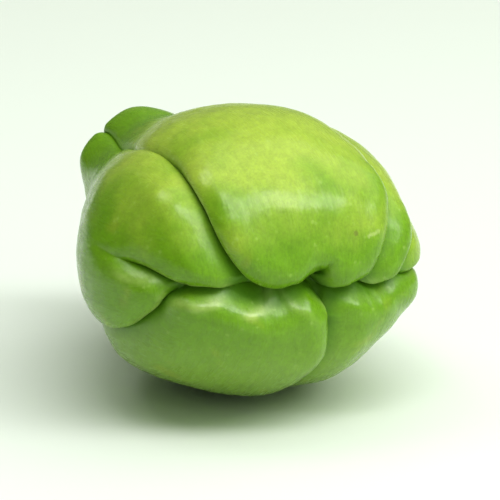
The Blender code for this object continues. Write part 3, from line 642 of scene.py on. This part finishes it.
# Painted light and shade among these colours: the light green is painted light on the top and right
# side, the belly green is painted bounce light from the floor, the deep green is painted shade in the
# furrows, and the pale rim colour gives a painted sheen on the fold lips and a painted highlight on the
# crests as well as the real scratch
GREEN = (0.160, 0.320, 0.009, 1.0)
PAINTED_BOUNCE_GREEN = (0.270, 0.430, 0.065, 1.0)
PAINTED_LIGHT_GREEN = (0.365, 0.475, 0.060, 1.0)
PAINTED_CREASE_SHADE = (0.060, 0.190, 0.004, 1.0)
YELLOW = (0.480, 0.500, 0.070, 1.0)
PALE_DOT = (0.420, 0.560, 0.160, 1.0)
PALE_SCRATCH_AND_PAINTED_SHEEN = (0.520, 0.600, 0.250, 1.0)
DRY_BROWN = (0.150, 0.120, 0.040, 1.0)
CORK = (0.360, 0.330, 0.150, 1.0)

# clock and percent of single marks on the skin
SPOTS = {
    "speck": (32, 9.6), "scratch_1": (44.5, 10.2), "scratch_2": (45.5, 10.55),
    "scratch_3": (46.5, 10.9), "scratch_4": (47.5, 11.3), "scratch_5": (48.5, 11.7),
    "stem": (0, 100),
}


def skin_material(spots):
    mat = bpy.data.materials.new("chayote_skin")
    mat.use_nodes = True
    n = Nodes(mat.node_tree)
    place = n.add("ShaderNodeTexCoord").outputs["Object"]
    grain = n.vector("grain")
    crease, painted_light_height = n.field("crease"), n.field("painted_light_height")

    patches = n.noise(place, 60, 3.0)
    mottle = n.noise(place, 420, 3.0, 0.6)
    speck = n.noise(place, 1500, 2.0, 0.6)
    front = n.noise(n.stretch(place, (1, 0.16, 0.16)), 800, 2.0, 0.6)
    flank = n.noise(n.stretch(grain, (1, 1, 0.16)), 800, 2.0, 0.6)
    turned = n.span(n.field("side"), 0.55, 0.9)
    streak = n.math("MULTIPLY_ADD", turned, n.math("SUBTRACT", flank, front), front)

    # Painted light and shade: the green turns lighter and yellower towards the top and towards the
    # right side, where the lamps fall, and darker towards the neck at the back, where it lies in shade;
    # random patches break it up
    painted_light_and_patches = n.math("ADD", painted_light_height, n.math("MULTIPLY", n.math("SUBTRACT", patches, 0.5), 0.7))
    apart = n.add("ShaderNodeSeparateXYZ", {0: place}).outputs
    painted_light_and_patches = n.math("SUBTRACT", painted_light_and_patches, n.span(apart["Y"], 0.020, 0.050, 0.0, 0.22))
    painted_light_and_patches = n.math("ADD", painted_light_and_patches, n.span(apart["X"], 0.020, 0.036, 0.0, 0.20))
    colour = n.mix(n.span(painted_light_and_patches, 0.60, 1.0), GREEN, PAINTED_LIGHT_GREEN)
    # Painted bounce light: the lowest part of the skin is painted a paler green, as if lit from the
    # floor
    colour = n.mix(n.span(painted_light_height, 0.10, 0.45, 0.8, 0.0), colour, PAINTED_BOUNCE_GREEN)
    fleck = n.span(n.noise(place, 95, 2.0), 0.60, 0.74)
    colour = n.mix(n.math("MULTIPLY", fleck, 0.22), colour, YELLOW)
    tone = n.math("ADD", n.span(mottle, 0.3, 0.7, 0.94, 1.06), n.span(speck, 0.3, 0.7, -0.08, 0.08))
    tone = n.math("ADD", tone, n.span(streak, 0.3, 0.7, 0.02, -0.02))
    shade = n.add("ShaderNodeCombineColor", {0: tone, 1: tone, 2: tone}).outputs[0]
    colour = n.mix(1.0, colour, shade, "MULTIPLY")
    dots = n.add("ShaderNodeTexVoronoi", {"Vector": place, "Scale": 330.0, "Randomness": 1.0}
                 ).outputs["Distance"]
    dot = n.math("MULTIPLY", n.span(dots, 0.10, 0.24, 1.0, 0.0), n.span(mottle, 0.45, 0.6))
    colour = n.mix(n.math("MULTIPLY", dot, 0.38), colour, PALE_DOT)
    # Painted sheen: a pale band along the lip of each fold that lies over another, a painted reflection
    # of the bright surroundings
    rim = n.math("MULTIPLY", n.field("lip"), n.span(mottle, 0.35, 0.6, 0.5, 1.0))
    colour = n.mix(n.math("MULTIPLY", rim, 0.45), colour, PALE_SCRATCH_AND_PAINTED_SHEEN)
    # Painted highlight: a pale line along the crests of the lower lobes, which are also made glossier
    crest_highlight = n.math("MULTIPLY", n.field("crest_highlight"), n.span(mottle, 0.3, 0.6, 0.6, 1.0))
    colour = n.mix(n.math("MULTIPLY", crest_highlight, 0.5), colour, PALE_SCRATCH_AND_PAINTED_SHEEN)
    # Painted shade: the skin turns dark green down in the furrows
    colour = n.mix(n.span(crease, 0.40, 1.0, 0.0, 0.65), colour, PAINTED_CREASE_SHADE)
    # the brown speck and the pale scratch on the top lobe, and the cork where the stem was
    ragged = n.math("MULTIPLY", n.math("SUBTRACT", speck, 0.5), 0.0010)
    speck_there = n.span(n.math("ADD", n.apart(place, spots["speck"]), ragged),
                         0.0004, 0.0010, 1.0, 0.0)
    colour = n.mix(n.math("MULTIPLY", speck_there, 0.45), colour, DRY_BROWN)
    for name in [key for key in spots if key.startswith("scratch")]:
        there = n.span(n.math("ADD", n.apart(place, spots[name]), ragged), 0.0002, 0.0008, 1.0, 0.0)
        colour = n.mix(n.math("MULTIPLY", there, 0.45), colour, PALE_SCRATCH_AND_PAINTED_SHEEN)
    cork = n.span(n.math("ADD", n.apart(place, spots["stem"]),
                         n.math("MULTIPLY", n.math("SUBTRACT", mottle, 0.5), 0.004)),
                  0.0030, 0.0046, 1.0, 0.0)
    corky = n.mix(n.span(speck, 0.35, 0.65), DRY_BROWN, CORK)
    colour = n.mix(n.math("MULTIPLY", cork, 0.9), colour, corky)

    pores = n.noise(place, 1900, 1.0)
    ripple = streak
    peel = n.noise(place, 620, 2.0)
    height = n.math("MULTIPLY_ADD", ripple, 0.75, n.math("MULTIPLY", peel, 0.35))
    height = n.math("MULTIPLY_ADD", pores, 0.07, height)
    height = n.math("MULTIPLY_ADD", dot, 0.08, height)
    bump = n.add("ShaderNodeBump", {"Height": height, "Strength": 0.30, "Distance": 0.0004})
    rough = n.math("ADD", n.span(streak, 0.3, 0.7, 0.20, 0.32),
                   n.span(crease, 0.2, 0.8, 0.0, 0.2))
    rough = n.math("ADD", rough, n.math("MULTIPLY", cork, 0.35))
    rough = n.math("SUBTRACT", rough, n.math("MULTIPLY", crest_highlight, 0.10))

    shader = n.add("ShaderNodeBsdfPrincipled", {
        "Base Color": colour, "Roughness": rough, "Normal": bump.outputs["Normal"],
        "IOR": 1.42, "Subsurface Weight": 0.18, "Subsurface Radius": (1.0, 1.0, 0.35),
        "Subsurface Scale": 0.003, "Coat Weight": 0.15, "Coat Roughness": 0.18})
    out = n.add("ShaderNodeOutputMaterial", {"Surface": shader.outputs[0]})
    out.is_active_output = True
    return mat


# ------------------------------------------------------------------ the studio
CAMERA_AT = (-0.4048, -0.7830, 0.2844)
AIM_AT = (0.0040, -0.0148, 0.0384)
CAMERA_ROLL = -1.2        # degrees
CAMERA_LENS = 240.0       # mm


def aimed(ob, at, roll=0.0):
    way = Vector(at) - ob.location
    ob.rotation_mode = "QUATERNION"
    ob.rotation_quaternion = (way.to_track_quat("-Z", "Y").to_matrix()
                              @ Matrix.Rotation(math.radians(roll), 3, "Z")).to_quaternion()


def softbox(name, at, towards, along, wide, deep, radiance):
    """A rectangular light whose long side runs along the given way."""
    data = bpy.data.lights.new(name, "AREA")
    data.shape = "RECTANGLE"
    data.size, data.size_y = wide, deep
    data.energy = radiance * math.pi * wide * deep
    ob = bpy.data.objects.new(name, data)
    bpy.context.scene.collection.objects.link(ob)
    ob.location = at
    z = (Vector(at) - Vector(towards)).normalized()
    x = (Vector(along) - z * z.dot(Vector(along))).normalized()
    ob.rotation_mode = "QUATERNION"
    ob.rotation_quaternion = Matrix((x, z.cross(x), z)).transposed().to_quaternion()
    return ob


def studio():
    scene = bpy.context.scene
    mesh = bpy.data.meshes.new("floor")
    half = 6.0
    mesh.from_pydata([(-half, -half, 0), (half, -half, 0), (half, half, 0), (-half, half, 0)],
                     [], [(0, 1, 2, 3)])
    floor = bpy.data.objects.new("floor", mesh)
    floor.location.z = -0.0001
    scene.collection.objects.link(floor)
    mat = bpy.data.materials.new("floor")
    mat.use_nodes = True
    shader = mat.node_tree.nodes["Principled BSDF"]
    shader.inputs["Base Color"].default_value = (0.78, 0.80, 0.78, 1)
    shader.inputs["Roughness"].default_value = 0.5
    shader.inputs["Specular IOR Level"].default_value = 0.3
    mesh.materials.append(mat)

    world = bpy.data.worlds.new("studio")
    world.use_nodes = True
    w = Nodes(world.node_tree)
    way = w.add("ShaderNodeTexCoord").outputs["Generated"]
    right = w.add("ShaderNodeVectorMath", {0: way, 1: (0.85, -0.45, 0.25)},
                  operation="DOT_PRODUCT").outputs["Value"]
    up = w.add("ShaderNodeVectorMath", {0: way, 1: (0.15, -0.35, 0.92)},
               operation="DOT_PRODUCT").outputs["Value"]
    front = w.add("ShaderNodeVectorMath", {0: way, 1: (0.10, -0.98, -0.10)},
                  operation="DOT_PRODUCT").outputs["Value"]
    glow = w.math("ADD", w.span(right, -0.7, 0.9, 0.15, 0.38), w.span(up, 0.3, 1.0, 0.0, 0.35))
    glow = w.math("ADD", glow, w.span(front, 0.0, 1.0, 0.0, 0.50))
    back = w.add("ShaderNodeBackground", {"Color": (0.86, 1.0, 0.76, 1), "Strength": glow})
    w.add("ShaderNodeOutputWorld", {"Surface": back.outputs[0]})
    scene.world = world

    slant = (0.82, -0.275, -0.503)
    softbox("main", (0.580, -0.133, 1.658), (0.0, 0.0, 0.04), slant, 2.8, 2.56, 0.86)
    softbox("edge", (0.290, -0.752, 1.309), (0.0, 0.0, 0.04), slant, 2.2, 0.50, 5.2)
    softbox("left", (-0.480, 0.570, 1.480), (0.0, 0.0, 0.04), (1, 0, 0), 0.6, 0.6, 3.0)

    data = bpy.data.cameras.new("camera")
    data.lens = CAMERA_LENS
    data.clip_start, data.clip_end = 0.05, 50.0
    camera = bpy.data.objects.new("camera", data)
    scene.collection.objects.link(camera)
    camera.location = CAMERA_AT
    aimed(camera, AIM_AT, CAMERA_ROLL)
    scene.camera = camera
    scene.view_settings.view_transform = "Standard"
    scene.view_settings.gamma = 0.88


fruit = fruit_piece()
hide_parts("chayote_fruit")
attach(fruit, "root")
studio()
